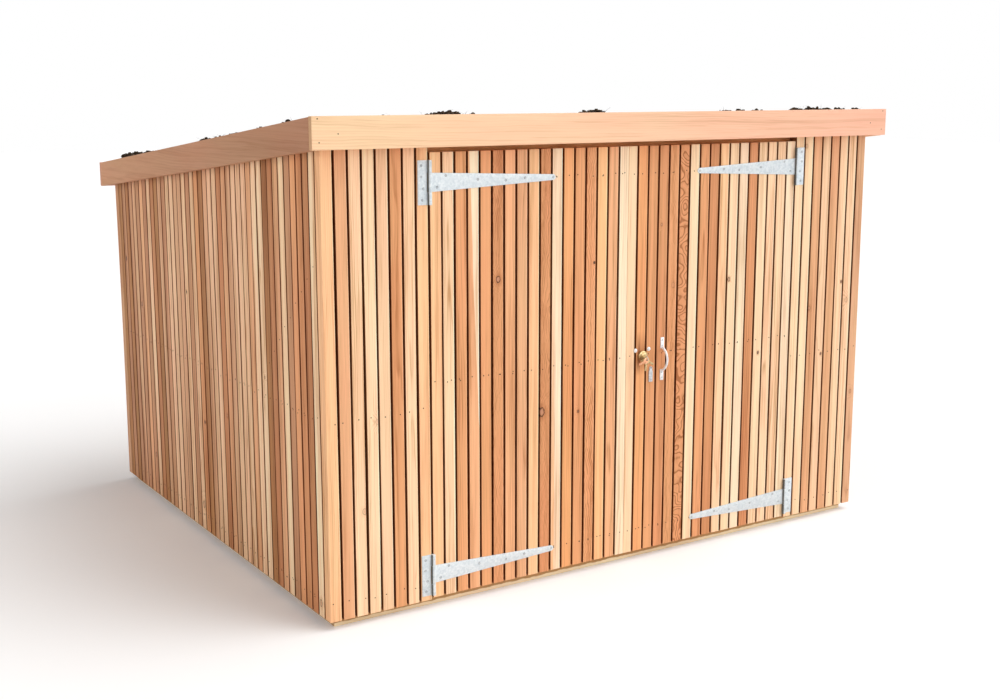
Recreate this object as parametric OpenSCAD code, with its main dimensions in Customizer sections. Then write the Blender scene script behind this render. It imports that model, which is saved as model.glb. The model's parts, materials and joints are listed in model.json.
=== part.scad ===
// Slatted timber bike shelter: upright square battens on a light frame,
// a pair of outward doors on long tee hinges, and a shallow pitched tray roof.

/* [Battens] */
// Face width of a cladding batten
batten_w = 36.5; // [28:0.5:42]
// Depth of a cladding batten, from face to back
batten_t = 35; // [28:1:42]
// Open gap between battens on the front and the back
front_gap = 7.5; // [6:0.5:14]
// Open gap between battens on the two sides
side_gap = 6; // [4:0.5:12]
// Battens in each fixed panel beside the doors
fixed_battens = 8; // [6:1:12]
// Full battens in each door leaf, its closing batten not counted
leaf_battens = 16; // [13:1:20]
// Battens along each side, both corners counted
side_battens = 45; // [35:1:55]
// Width of the closing batten at the free edge of a leaf
closing_w = 32; // [26:0.5:36]

/* [Heights] */
// Thickness of the floor deck that lifts the cladding off the ground
floor_t = 26; // [18:1:40]
// Height of the front fascia's top edge above the ground
front_h = 1511; // [1400:1:1800]
// Fall of the roof from the front fascia to the back one
roof_fall = 218; // [100:1:300]
// Height of the lower rails, ledges and hinges above the ground
low_z = 108; // [100:1:200]
// Drop from the front fascia's top edge to the upper rails, ledges and hinges
high_drop = 197; // [197:1:300]
// Height of the walls' middle rails above the ground
wall_middle_z = 633; // [450:1:800]

/* [Frame] */
// Side of a square post
post_w = 60; // [45:1:70]
// Depth of a rail behind the battens
rail_t = 45; // [35:1:50]
// Height of a rail
rail_h = 70; // [45:1:90]
// Reach of a side wall's knee brace along its post and its rail
knee_l = 433; // [300:1:500]
// Width of a knee brace, measured level
knee_w = 99; // [60:1:120]
// Inset of the floor deck's ends from the side faces
floor_inset = 24; // [15:1:30]
// Recess of the floor deck's front edge behind the batten faces
floor_recess = 27; // [20:1:32]
// Recess of the floor deck's back edge from the back batten faces
floor_back_recess = 30; // [20:1:33]

/* [Roof] */
// Height of a fascia board
fascia_h = 93; // [90:1:120]
// Thickness of a fascia board
fascia_t = 20; // [15:1:28]
// Distance from the front battens to the front fascia's face
front_overhang = 51; // [45:0.5:80]
// Distance from the side battens to a side fascia's face
side_overhang = 45.5; // [32:0.5:70]
// Distance from the back battens to the back fascia's face
back_overhang = 39; // [32:0.5:70]
// Thickness of the roof deck
deck_t = 18; // [12:1:24]
// Depth of the growing medium on the roof deck
medium_t = 44; // [20:1:44]
// Drop from the fascia's top edge to the growing medium
medium_drop = 10; // [4:1:15]
// Rafters between the side walls
rafters_n = 4; // [2:1:6]
// Thickness of a rafter
rafter_t = 45; // [35:1:60]

/* [Doors] */
// Gap between the closing battens of the two leaves
leaf_gap = 5; // [5:0.5:9]
// Clearance between a leaf and the fixed work around it
door_clear = 5; // [5:0.5:7]
// Gap between the leaf tops and the bottom edge of the fascia
top_gap = 16; // [10:1:30]
// Height of a door ledge
ledge_h = 90; // [70:1:90]
// Thickness of a door ledge and brace
ledge_t = 28; // [20:1:30]
// Distance from a ledge's end to the hinge edge of its leaf
ledge_hinge_inset = 12; // [6:1:40]
// Distance from a ledge's end to the free edge of its leaf
ledge_free_inset = 12; // [10:1:40]
// Width of a brace, measured level
brace_w = 80; // [50:1:100]

/* [Tee hinges] */
// Length of a strap from the pin's centre to its tip
strap_len = 452; // [300:1:500]
// Width of a strap at its root, which is the height of its barrel
strap_root_w = 57; // [40:1:70]
// Width of a strap at its tip
strap_tip_w = 18; // [12:1:30]
// Thickness of the hinge plate
plate_t = 3; // [2:0.5:4]
// Height of the fixed flap
flap_h = 131; // [100:1:160]
// Width of the fixed flap from the pin's centre
flap_w = 38; // [30:1:40]
// Radius of the rolled knuckles
knuckle_r = 6.5; // [5.5:0.5:8]
// Radius of the hinge pin
pin_r = 4; // [3:0.5:4.5]
// Running clearance round the pin and between the knuckles
pin_clear = 0.3; // [0.2:0.1:0.5]

/* [Lock and handle] */
// Distance of the lock from the meeting line of the leaves
lock_x = 67; // [60:1:80]
// Drop from the middle ledge's centre to the lock
lock_drop = 4; // [-10:1:15]
// Radius of the lock's face ring
lock_ring_r = 18; // [12:0.5:20]
// Radius of the lock's body and of its hole through the leaf
lock_body_r = 14; // [10:0.5:15]
// How far the lock's face ring stands proud
lock_ring_t = 7; // [4:0.5:10]
// Distance of the handle from the meeting line of the leaves
handle_x = 152; // [130:1:180]
// Drop from the middle ledge's centre to the handle's middle
handle_drop = 22; // [-20:1:60]
// Overall length of the handle
handle_l = 146; // [120:1:180]
// How far the handle stands out from the leaf
handle_out = 34; // [28:1:44]
// Radius of the handle's bar
handle_r = 4; // [3:0.5:6]

/* [Hidden] */

$fn = 64;
// Overrun of every cut past the faces that it opens
overrun = 1;
// Seating gap between the roof deck and the timbers that carry it
seat_gap = 0.3;

// Levels of the rails, ledges and hinges
high_z = front_h - high_drop;
middle_z = (low_z + high_z) / 2;
lock_z = middle_z - lock_drop;
handle_z = middle_z - handle_drop;

// Plan sizes, from the battens outward
front_pitch = batten_w + front_gap;
side_pitch = batten_w + side_gap;
half_w = fixed_battens * front_pitch + leaf_battens * front_pitch + closing_w + leaf_gap / 2;
wall_w = 2 * half_w;
wall_d = side_battens * side_pitch - side_gap;
roof_w = wall_w + 2 * side_overhang;
roof_d = wall_d + front_overhang + back_overhang;
front_y = front_overhang - roof_d / 2;
back_y = front_y + wall_d;
back_battens = round((wall_w + front_gap) / front_pitch);
back_pitch = (wall_w - batten_w) / (back_battens - 1);

// Planes behind the battens, and the clear run between the corner posts
frame_x = half_w - batten_t;
frame_front_y = front_y + batten_t;
frame_back_y = back_y - batten_t;
run_x = frame_x - post_w;
run_front_y = frame_front_y + post_w;
run_back_y = frame_back_y - post_w;

// Door openings: the first leaf batten starts at leaf_x from the middle
leaf_x = leaf_gap / 2 + closing_w + leaf_battens * front_pitch;
door_post_x = leaf_x + front_gap;
door_bottom = floor_t + door_clear;
door_top = front_h - fascia_h - top_gap;
head_front_y = frame_front_y + door_clear;
head_back_y = head_front_y + rail_t;
head_bottom = high_z + ledge_h / 2 + door_clear;
ledge_free_x = leaf_gap / 2 + ledge_free_inset;
ledge_hinge_x = leaf_x - ledge_hinge_inset;

// Hinge pins stand on the middle of the gap beside each leaf
pin_x = leaf_x + front_gap / 2;
pin_y = front_y - knuckle_r;
barrel_gap = 2 * pin_clear;
strap_tip_r = strap_tip_w / 2;

// Lock details
lock_plug_share = 0.55;
lock_plug_r = lock_ring_r * lock_plug_share;
lock_plug_proud = 2;
lock_plug_t = lock_ring_t + lock_plug_proud;
keyway_w = 7.5;
keyway_t = 2.6;
lock_case_w = 86;
lock_case_h = 64;
lock_case_t = 24;
lock_case_round = 6;
lock_keep_w = 24;
lock_keep_pocket_share = 0.6;
lock_bolt_spread = 28;
lock_bolt_rise = 21;
lock_bolt_r = 7;
lock_bolt_t = 4.5;
lock_bolt_edge_t = 1.5;

// Latch plate, centred on the second full batten of the right leaf
latch_x = leaf_gap / 2 + closing_w + front_gap + front_pitch + batten_w / 2;
latch_drop = 69.5;
latch_z = middle_z - latch_drop;
latch_w = 15;
latch_h = 52;
latch_eye_w = 11;
latch_t = 4;
latch_hole_r = 2.5;

// Keys: one in the lock, the others fanned out on its ring
key_t = 2;
key_blade_h = 7;
key_blade_l = 20;
key_bow_r = 8;
hung_bow_r = 10;
key_eye_r = 3;
key_ring_r = 7;
key_wire_r = 1;
key_gap = 1;
key_hang = 1;
key_pitch = 2.6;
key_turns_deg = [-72, -8, 60];

// Handle details
handle_pad_w = 13.5;
handle_pad_h = 37;
handle_pad_t = 3;

// The tray inside the fascia boards
tray_x = roof_w / 2 - fascia_t;
tray_y = roof_d / 2 - fascia_t;

// Roof planes, all parallel to the fascia's top edge
function fascia_top(y) = front_h - roof_fall * (y + roof_d / 2) / roof_d;
function medium_top(y) = fascia_top(y) - medium_drop;
function deck_top(y) = medium_top(y) - medium_t;
function deck_under(y) = deck_top(y) - deck_t;
function frame_top(y) = deck_under(y) - seat_gap;

// A length of section drawn in the side view, run along the width from x
module along_width(x, width) {
  translate([x, 0, 0]) rotate([90, 0, 90]) linear_extrude(width) children();
}

// An upright whose top is cut to the slope of the roof
module upright(x, width, y, depth, foot) {
  along_width(x, width)
    polygon([[y, foot], [y + depth, foot], [y + depth, frame_top(y + depth)], [y, frame_top(y)]]);
}

// A level bar with its middle height at z
module level_bar(x, y, z, width, depth, height) {
  translate([x, y, z - height / 2]) cube([width, depth, height]);
}

// A sloping layer of the roof between two planes, from y to y_end
module roof_layer(x, width, y, y_end, low_y, low_end, high_y, high_end) {
  along_width(x, width) polygon([[y, low_y], [y_end, low_end], [y_end, high_end], [y, high_y]]);
}

module right_hand() {
  mirror([1, 0, 0]) children();
}

// Floor and frame

module floor_deck() {
  color("tan")
    translate([floor_inset - half_w, front_y + floor_recess, 0])
      cube([wall_w - 2 * floor_inset, wall_d - floor_recess - floor_back_recess, floor_t]);
}

module corner_posts() {
  color("peru")
    for (x = [-frame_x, run_x], y = [frame_front_y, run_back_y])
      upright(x, post_w, y, post_w, floor_t);
}

module door_posts() {
  color("peru")
    for (x = [-door_post_x - post_w, door_post_x])
      translate([x, frame_front_y, floor_t]) cube([post_w, post_w, head_bottom - floor_t]);
}

module door_head() {
  color("peru")
    roof_layer(-run_x, 2 * run_x, head_front_y, head_back_y, head_bottom, head_bottom,
      frame_top(head_front_y), frame_top(head_back_y));
}

module side_rails() {
  run = run_back_y - run_front_y;
  for (z = [low_z, wall_middle_z])
    level_bar(-frame_x, run_front_y, z, rail_t, run, rail_h);
  roof_layer(-frame_x, rail_t, run_front_y, run_back_y,
    frame_top(run_front_y) - rail_h, frame_top(run_back_y) - rail_h,
    frame_top(run_front_y), frame_top(run_back_y));
}

module left_wall_rails() {
  color("peru") side_rails();
}

module right_wall_rails() {
  color("peru") right_hand() side_rails();
}

module back_wall_rails() {
  rail_y = frame_back_y - rail_t;
  foot = frame_top(frame_back_y) - rail_h;
  color("peru") {
    for (z = [low_z, wall_middle_z])
      level_bar(-run_x, rail_y, z, 2 * run_x, rail_t, rail_h);
    roof_layer(-run_x, 2 * run_x, rail_y, frame_back_y, foot, foot,
      frame_top(rail_y), frame_top(frame_back_y));
  }
}

module front_panel_rails() {
  span = run_x - door_post_x - post_w;
  color("peru")
    for (x = [-run_x, door_post_x + post_w], z = [low_z, wall_middle_z, high_z])
      level_bar(x, frame_front_y, z, span, rail_t, rail_h);
}

// A knee brace falls from a front corner post to the middle rail of a side
module side_brace() {
  foot = wall_middle_z + rail_h / 2;
  along_width(-frame_x, rail_t)
    polygon([[run_front_y, foot + knee_l], [run_front_y, foot + knee_l - knee_w],
      [run_front_y + knee_l - knee_w, foot], [run_front_y + knee_l, foot]]);
}

module left_wall_brace() {
  color("peru") side_brace();
}

module right_wall_brace() {
  color("peru") right_hand() side_brace();
}

// Cladding battens

module panel_battens() {
  for (i = [0 : fixed_battens - 1])
    upright(i * front_pitch - half_w, batten_w, front_y, batten_t, floor_t);
}

module front_left_battens() {
  color("burlywood") panel_battens();
}

module front_right_battens() {
  color("burlywood") right_hand() panel_battens();
}

module side_row() {
  for (i = [1 : side_battens - 2])
    upright(-half_w, batten_t, front_y + i * side_pitch, batten_w, floor_t);
}

module left_wall_battens() {
  color("burlywood") side_row();
}

module right_wall_battens() {
  color("burlywood") right_hand() side_row();
}

module back_wall_battens() {
  color("burlywood")
    for (i = [0 : back_battens - 1])
      upright(i * back_pitch - half_w, batten_w, frame_back_y, batten_t, floor_t);
}

// Roof

module rafters() {
  pitch = 2 * run_x / (rafters_n + 1);
  rear_y = frame_back_y - rail_t;
  color("peru")
    for (i = [1 : rafters_n])
      roof_layer(i * pitch - run_x - rafter_t / 2, rafter_t, head_back_y, rear_y,
        frame_top(head_back_y) - rail_h, frame_top(rear_y) - rail_h,
        frame_top(head_back_y), frame_top(rear_y));
}

module roof_deck() {
  color("sienna")
    roof_layer(-tray_x, 2 * tray_x, -tray_y, tray_y, deck_under(-tray_y), deck_under(tray_y),
      deck_top(-tray_y), deck_top(tray_y));
}

module growing_medium() {
  color("#4a3b2c")
    roof_layer(-tray_x, 2 * tray_x, -tray_y, tray_y, deck_top(-tray_y), deck_top(tray_y),
      medium_top(-tray_y), medium_top(tray_y));
}

module front_fascia() {
  color("navajowhite")
    translate([-roof_w / 2, -roof_d / 2, front_h - fascia_h]) cube([roof_w, fascia_t, fascia_h]);
}

module back_fascia() {
  color("navajowhite")
    translate([-roof_w / 2, tray_y, fascia_top(tray_y) - fascia_h]) cube([roof_w, fascia_t, fascia_h]);
}

module side_fascia() {
  roof_layer(-roof_w / 2, fascia_t, -tray_y, tray_y,
    fascia_top(-tray_y) - fascia_h, fascia_top(tray_y) - fascia_h,
    fascia_top(-tray_y), fascia_top(tray_y));
}

module left_fascia() {
  color("navajowhite") side_fascia();
}

module right_fascia() {
  color("navajowhite") right_hand() side_fascia();
}

// Tee hinges, with the pin's middle at the origin; way is 1 for the left leaf and -1 for the right

// The plate lies against the batten faces behind the pin
module hinge_plate() {
  translate([0, knuckle_r, 0]) rotate([90, 0, 0]) linear_extrude(plate_t) children();
}

// The fixed flap: a plate notched round the strap's barrel, two knuckles and the pin
module hinge_flap(way) {
  notch_x = knuckle_r + barrel_gap;
  notch_z = strap_root_w / 2 + barrel_gap;
  half = flap_h / 2;
  hinge_plate()
    polygon([[0, -half], [0, -notch_z], [-way * notch_x, -notch_z], [-way * notch_x, notch_z],
      [0, notch_z], [0, half], [-way * flap_w, half], [-way * flap_w, -half]]);
  for (z = [-half, notch_z])
    translate([0, 0, z]) cylinder(r = knuckle_r, h = half - notch_z);
  translate([0, 0, -half]) cylinder(r = pin_r, h = flap_h);
}

// The moving strap: a tapered plate with a round tip, rolled at its root into a barrel
module hinge_strap(way) {
  root = strap_root_w / 2;
  tip_x = way * (strap_len - strap_tip_r);
  difference() {
    union() {
      hinge_plate() {
        polygon([[0, -root], [tip_x, -strap_tip_r], [tip_x, strap_tip_r], [0, root]]);
        translate([tip_x, 0]) circle(r = strap_tip_r);
      }
      translate([0, 0, -root]) cylinder(r = knuckle_r, h = strap_root_w);
    }
    translate([0, 0, -root - overrun]) cylinder(r = pin_r + pin_clear, h = strap_root_w + 2 * overrun);
  }
}

module at_pin(way, z) {
  color("lightsteelblue") translate([-way * pin_x, pin_y, z]) children();
}

module left_upper_flap() {
  at_pin(1, high_z) hinge_flap(1);
}

module left_lower_flap() {
  at_pin(1, low_z) hinge_flap(1);
}

module right_upper_flap() {
  at_pin(-1, high_z) hinge_flap(-1);
}

module right_lower_flap() {
  at_pin(-1, low_z) hinge_flap(-1);
}

module left_upper_strap() {
  at_pin(1, high_z) hinge_strap(1);
}

module left_lower_strap() {
  at_pin(1, low_z) hinge_strap(1);
}

module right_upper_strap() {
  at_pin(-1, high_z) hinge_strap(-1);
}

module right_lower_strap() {
  at_pin(-1, low_z) hinge_strap(-1);
}

// Door leaves, drawn for the left one

module leaf_row() {
  height = door_top - door_bottom;
  for (i = [0 : leaf_battens - 1])
    translate([i * front_pitch - leaf_x, front_y, door_bottom]) cube([batten_w, batten_t, height]);
  translate([-leaf_gap / 2 - closing_w, front_y, door_bottom]) cube([closing_w, batten_t, height]);
}

module leaf_ledges() {
  for (z = [low_z, middle_z, high_z])
    level_bar(-ledge_hinge_x, frame_front_y, z, ledge_hinge_x - ledge_free_x, ledge_t, ledge_h);
}

// A brace rises from the hinge side of one ledge to the free side of the next
module leaf_braces() {
  for (bay = [[low_z, middle_z], [middle_z, high_z]]) {
    foot = bay[0] + ledge_h / 2;
    head = bay[1] - ledge_h / 2;
    translate([0, frame_front_y + ledge_t, 0]) rotate([90, 0, 0]) linear_extrude(ledge_t)
      polygon([[-ledge_hinge_x, foot], [brace_w - ledge_hinge_x, foot],
        [-ledge_free_x, head], [-ledge_free_x - brace_w, head]]);
  }
}

module left_door_battens() {
  color("burlywood") leaf_row();
}

module left_door_ledges() {
  color("peru") leaf_ledges();
}

module left_door_braces() {
  color("peru") leaf_braces();
}

// Clear way through the right leaf for the body of the lock
module lock_hole() {
  translate([lock_x, front_y - overrun, lock_z]) rotate([-90, 0, 0])
    cylinder(r = lock_body_r + pin_clear, h = batten_t + ledge_t + 2 * overrun);
}

module right_door_battens() {
  color("burlywood") difference() {
    right_hand() leaf_row();
    lock_hole();
  }
}

module right_door_ledges() {
  color("peru") difference() {
    right_hand() leaf_ledges();
    lock_hole();
  }
}

module right_door_braces() {
  color("peru") right_hand() leaf_braces();
}

// Lock and handle on the right leaf

module lock_cylinder() {
  color("goldenrod") translate([lock_x, front_y, lock_z]) rotate([90, 0, 0]) difference() {
    union() {
      translate([0, 0, -batten_t - ledge_t]) cylinder(r = lock_body_r, h = batten_t + ledge_t);
      cylinder(r = lock_ring_r, h = lock_ring_t);
      cylinder(r = lock_plug_r, h = lock_plug_t);
    }
    translate([-keyway_w / 2, -keyway_t / 2, lock_plug_t - key_blade_l])
      cube([keyway_w, keyway_t, key_blade_l + overrun]);
  }
}

module lock_case() {
  long = lock_case_w - 2 * lock_case_round;
  tall = lock_case_h - 2 * lock_case_round;
  color("dimgray")
    translate([ledge_free_x + lock_case_round, frame_front_y + ledge_t, lock_z - tall / 2])
      rotate([-90, 0, 0]) mirror([0, 1, 0]) linear_extrude(lock_case_t) {
        translate([-lock_case_round, 0]) square([lock_case_w, tall]);
        translate([0, -lock_case_round]) square([long, lock_case_h]);
        for (x = [0, long], y = [0, tall])
          translate([x, y]) circle(r = lock_case_round);
      }
}

// The keep on the left leaf, with a pocket that faces the lock's case
module lock_keep() {
  wall = lock_keep_w * (1 - lock_keep_pocket_share);
  pocket_h = lock_case_h * lock_keep_pocket_share;
  color("dimgray") translate([-ledge_free_x - lock_keep_w, frame_front_y + ledge_t, lock_z]) difference() {
    translate([0, 0, -lock_case_h / 2]) cube([lock_keep_w, lock_case_t, lock_case_h]);
    translate([wall, wall, -pocket_h / 2])
      cube([lock_keep_w - wall + overrun, lock_case_t - 2 * wall, pocket_h]);
  }
}

module lock_bolts() {
  color("whitesmoke")
    for (side = [-1, 1])
      translate([lock_x + side * lock_bolt_spread, front_y, lock_z + lock_bolt_rise]) rotate([90, 0, 0])
        rotate_extrude() dome_half();
}

// Half section of a low domed head
module dome_half() {
  dome_h = lock_bolt_t - lock_bolt_edge_t;
  dome_r = (lock_bolt_r * lock_bolt_r + dome_h * dome_h) / (2 * dome_h);
  square([lock_bolt_r, lock_bolt_edge_t]);
  intersection() {
    translate([0, lock_bolt_t - dome_r]) circle(r = dome_r);
    translate([0, lock_bolt_edge_t]) square([lock_bolt_r, dome_h]);
  }
}

module latch_plate() {
  eye_r = latch_eye_w / 2;
  body_h = latch_h - latch_w;
  color("silver") translate([latch_x, front_y, latch_z]) rotate([90, 0, 0]) difference() {
    linear_extrude(latch_t) {
      translate([-latch_w / 2, -latch_h / 2]) square([latch_w, body_h]);
      translate([-eye_r, body_h - latch_h / 2]) square([latch_eye_w, latch_w - eye_r]);
      translate([0, latch_h / 2 - eye_r]) circle(r = eye_r);
    }
    translate([0, latch_h / 2 - eye_r, -overrun]) cylinder(r = latch_hole_r, h = latch_t + 2 * overrun);
  }
}

// A flat key drawn upright round its eye: a round bow and a blade below it
module flat_key(bow_r) {
  bow_y = 2 * key_eye_r - bow_r;
  linear_extrude(key_t, center = true) difference() {
    union() {
      translate([0, bow_y]) circle(r = bow_r);
      translate([-key_blade_h / 2, bow_y - bow_r - key_blade_l])
        square([key_blade_h, bow_r + key_blade_l]);
    }
    circle(r = key_eye_r);
  }
}

// The ring hangs in the eye of the key in the lock, round the rim of its bow, and carries the others
module key_bunch() {
  eye_y = front_y - lock_plug_t - key_gap - 2 * (key_bow_r - key_eye_r);
  ring_y = eye_y - 2 * key_eye_r;
  inner_r = key_ring_r - key_wire_r - pin_clear;
  ring_z = lock_z + key_t / 2 - sqrt(inner_r * inner_r - key_eye_r * key_eye_r);
  last = len(key_turns_deg) - 1;
  color("goldenrod") {
    translate([lock_x, eye_y, lock_z]) rotate([0, 0, 180]) flat_key(key_bow_r);
    translate([lock_x, ring_y, ring_z]) rotate([0, 90, 0])
      rotate_extrude() translate([key_ring_r, 0]) circle(r = key_wire_r);
    for (i = [0 : last]) {
      along = (i - last / 2) * key_pitch;
      drop = sqrt(key_ring_r * key_ring_r - along * along);
      translate([lock_x, ring_y + along, ring_z - drop]) rotate([0, -key_turns_deg[i], 0])
        translate([0, 0, -key_hang]) rotate([90, 0, 0]) flat_key(hung_bow_r);
    }
  }
}

// Two flat pads joined by a bar that arches out from the inner end of one to the other
module pull_handle() {
  bow_half = handle_l / 2 - handle_pad_h + handle_r;
  bow_rise = handle_out - handle_r - handle_pad_t / 2;
  bow_r = (bow_half * bow_half + bow_rise * bow_rise) / (2 * bow_rise);
  bow_deg = 2 * atan(bow_rise / bow_half);
  color("silver") translate([handle_x, front_y, handle_z]) {
    for (z = [-handle_l / 2, handle_l / 2 - handle_pad_h])
      translate([-handle_pad_w / 2, -handle_pad_t, z])
        cube([handle_pad_w, handle_pad_t, handle_pad_h]);
    translate([0, handle_r - handle_out + bow_r, 0]) rotate([90, 0, -90]) rotate([0, 0, -bow_deg])
      rotate_extrude(angle = 2 * bow_deg) translate([bow_r, 0]) circle(r = handle_r);
  }
}

floor_deck();
corner_posts();
door_posts();
door_head();
left_wall_rails();
right_wall_rails();
back_wall_rails();
front_panel_rails();
left_wall_brace();
right_wall_brace();
front_left_battens();
front_right_battens();
left_wall_battens();
right_wall_battens();
back_wall_battens();
rafters();
roof_deck();
growing_medium();
front_fascia();
back_fascia();
left_fascia();
right_fascia();
left_upper_flap();
left_lower_flap();
right_upper_flap();
right_lower_flap();
left_door_battens();
left_door_ledges();
left_door_braces();
left_upper_strap();
left_lower_strap();
right_door_battens();
right_door_ledges();
right_door_braces();
right_upper_strap();
right_lower_strap();
pull_handle();
lock_cylinder();
lock_case();
lock_keep();
lock_bolts();
latch_plate();
key_bunch();
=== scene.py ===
# %% [markdown]
# # A slatted cedar bike shelter
# The frame that this lesson starts from is a plain model of a bike shelter: square cedar battens
# stand in rows round a light timber frame, two doors swing on long tee hinges, and a shallow tray
# of growing medium lies on the roof. Each step gives one kind of piece the shape and the finish
# that it has on the real building. Lengths are in metres, +Z is up and the doors face -Y.

import json
import math
import random

import bmesh
import bpy
import numpy as np
from mathutils import Matrix, Vector, noise


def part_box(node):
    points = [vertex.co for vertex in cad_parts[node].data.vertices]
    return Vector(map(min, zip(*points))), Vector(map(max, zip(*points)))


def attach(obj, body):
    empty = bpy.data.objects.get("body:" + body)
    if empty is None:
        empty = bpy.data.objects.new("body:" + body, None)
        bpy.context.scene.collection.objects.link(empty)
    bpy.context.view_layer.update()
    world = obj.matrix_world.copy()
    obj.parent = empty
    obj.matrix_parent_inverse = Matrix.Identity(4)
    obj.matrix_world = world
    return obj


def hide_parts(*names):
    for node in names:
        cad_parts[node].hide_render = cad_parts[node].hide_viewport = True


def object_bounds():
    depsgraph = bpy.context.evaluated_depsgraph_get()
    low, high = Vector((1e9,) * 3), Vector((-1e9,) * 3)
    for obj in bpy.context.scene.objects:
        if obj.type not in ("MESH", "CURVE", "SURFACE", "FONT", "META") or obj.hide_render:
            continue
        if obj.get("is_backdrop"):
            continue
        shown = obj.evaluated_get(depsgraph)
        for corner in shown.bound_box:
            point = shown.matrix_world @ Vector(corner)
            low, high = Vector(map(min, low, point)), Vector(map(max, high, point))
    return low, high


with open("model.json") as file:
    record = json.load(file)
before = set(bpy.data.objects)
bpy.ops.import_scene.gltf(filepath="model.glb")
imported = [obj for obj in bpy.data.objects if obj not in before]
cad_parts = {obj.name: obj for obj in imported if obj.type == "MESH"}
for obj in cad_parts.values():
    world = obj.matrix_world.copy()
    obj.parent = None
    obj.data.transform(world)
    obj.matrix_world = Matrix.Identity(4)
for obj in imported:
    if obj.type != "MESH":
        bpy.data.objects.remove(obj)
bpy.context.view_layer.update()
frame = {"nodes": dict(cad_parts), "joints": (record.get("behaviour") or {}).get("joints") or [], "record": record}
scene = bpy.context.scene
scene.view_settings.view_transform = "Standard"

# %% [markdown]
# ## The camera
# The view is from the left of the doors, at about eye height, so that the front and one long side
# both show. A Track To constraint could aim the camera, but a place and two angles say the same
# thing in numbers that can be read and repeated. The small shifts move the picture in its frame
# without turning the camera, which keeps the uprights as upright as the lens sees them.

# %% Camera
CAMERA_PLACE = (-2.7001, -4.3865, 1.5892)
CAMERA_TURN = 0.57538
CAMERA_TILT = 0.17804
CAMERA_LENS = 48.373
CAMERA_SENSOR = 36.0
CAMERA_SHIFT = (-0.00677, -0.02123)

lens = bpy.data.cameras.new("shelter_camera")
lens.lens = CAMERA_LENS
lens.sensor_width = CAMERA_SENSOR
lens.shift_x, lens.shift_y = CAMERA_SHIFT
camera = bpy.data.objects.new("shelter_camera", lens)
camera.location = CAMERA_PLACE
camera.rotation_euler = (math.pi / 2 - CAMERA_TILT, 0, -CAMERA_TURN)
scene.collection.objects.link(camera)
scene.camera = camera
print("camera height:", round(camera.location.z, 2), "m")

# %% [markdown]
# ## A short way to write finishes
# A finish is a tree of shader nodes. Placing and joining nodes by hand takes many lines, so this
# small class keeps one method for each kind of step: add a node, do a sum, mix two colours, or
# lay a noise that is stretched along the grain. A second class adds the material and its main
# shader. Every finish below is written with them.

# %% Finish helper
def linear(red, green, blue):
    """A colour given in the 0 to 255 steps of a screen, as linear light."""
    steps = [value / 255 for value in (red, green, blue)]
    return tuple(s / 12.92 if s <= 0.04045 else ((s + 0.055) / 1.055) ** 2.4 for s in steps) + (1.0,)


class Nodes:
    """A tree of shader nodes, with short ways to add to it."""

    def __init__(self, owner):
        owner.use_nodes = True
        self.tree = owner.node_tree

    def feed(self, socket, value):
        if isinstance(value, bpy.types.NodeSocket):
            self.tree.links.new(value, socket)
        else:
            socket.default_value = value

    def add(self, kind, inputs=None, out=0, **settings):
        made = self.tree.nodes.new("ShaderNode" + kind)
        for name, value in settings.items():
            setattr(made, name, value)
        for key, value in (inputs or {}).items():
            self.feed(made.inputs[key], value)
        return made.outputs[out]

    def sum(self, operation, first, second=0.0):
        return self.add("Math", {0: first, 1: second}, operation=operation)

    def plus(self, first, second):
        return self.sum("ADD", first, second)

    def less(self, first, second):
        return self.sum("SUBTRACT", first, second)

    def times(self, first, second):
        return self.sum("MULTIPLY", first, second)

    def vector(self, operation, first, second=(0.0, 0.0, 0.0), out=0):
        return self.add("VectorMath", {0: first, 1: second}, out, operation=operation)

    def scaled(self, vector, factor):
        return self.add("VectorMath", {0: vector, 3: factor}, operation="SCALE")

    def part(self, vector, index):
        return self.add("SeparateXYZ", {0: vector}, index)

    def mix(self, factor, first, second, blend="MIX"):
        sockets = {0: factor, 6: first, 7: second}
        return self.add("Mix", sockets, 2, data_type="RGBA", blend_type=blend, clamp_result=True)

    def shaded(self, colour, shade):
        return self.mix(1.0, colour, shade, "MULTIPLY")

    def span(self, value, low, high, to_low=0.0, to_high=1.0, smooth=True):
        sockets = {0: value, 1: low, 2: high, 3: to_low, 4: to_high}
        return self.add("MapRange", sockets, interpolation_type="SMOOTHSTEP" if smooth else "LINEAR")

    def noise(self, place, stretch, detail=2.0, out=0):
        stretched = self.vector("MULTIPLY", place, stretch)
        return self.add("TexNoise", {"Vector": stretched, "Scale": 1.0, "Detail": detail}, out)

    def ramp(self, value, *stops):
        made = self.tree.nodes.new("ShaderNodeValToRGB")
        elements = made.color_ramp.elements
        while len(elements) < len(stops):
            elements.new(0.5)
        for element, (place, colour) in zip(elements, stops):
            element.position = place
            element.color = colour
        self.feed(made.inputs[0], value)
        return made.outputs[0]

    def attribute(self, name, out=1):
        return self.add("Attribute", out=out, attribute_name=name)

    def place(self):
        return self.add("TexCoord", out=3)


class Finish(Nodes):
    """A material whose main shader is ready to be fed."""

    def __init__(self, name):
        self.material = bpy.data.materials.new(name)
        super().__init__(self.material)
        self.shader = self.tree.nodes["Principled BSDF"]

    def set(self, name, value):
        self.feed(self.shader.inputs[name], value)

    def bump(self, height, depth, strength):
        sockets = {"Height": height, "Distance": depth, "Strength": strength}
        self.set("Normal", self.add("Bump", sockets))


def grey(level):
    """An even grey for a ramp or a mix."""
    return (level, level, level, 1.0)


print("finish helper ready")

# %% [markdown]
# ## Studio floor and soft light
# The shelter stands in a white studio: a pale floor that runs out of sight, a low broad lamp from
# the front right, one high above it, a warm fill from the left and an even glow all round. A sun
# lamp with a wide angle gives the soft shadow of a large light bank, and a low one leaves only a
# short shadow under the fascia. The white that the camera sees behind the shelter is only for
# camera and reflection rays, so it adds no light to the timber.

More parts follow.
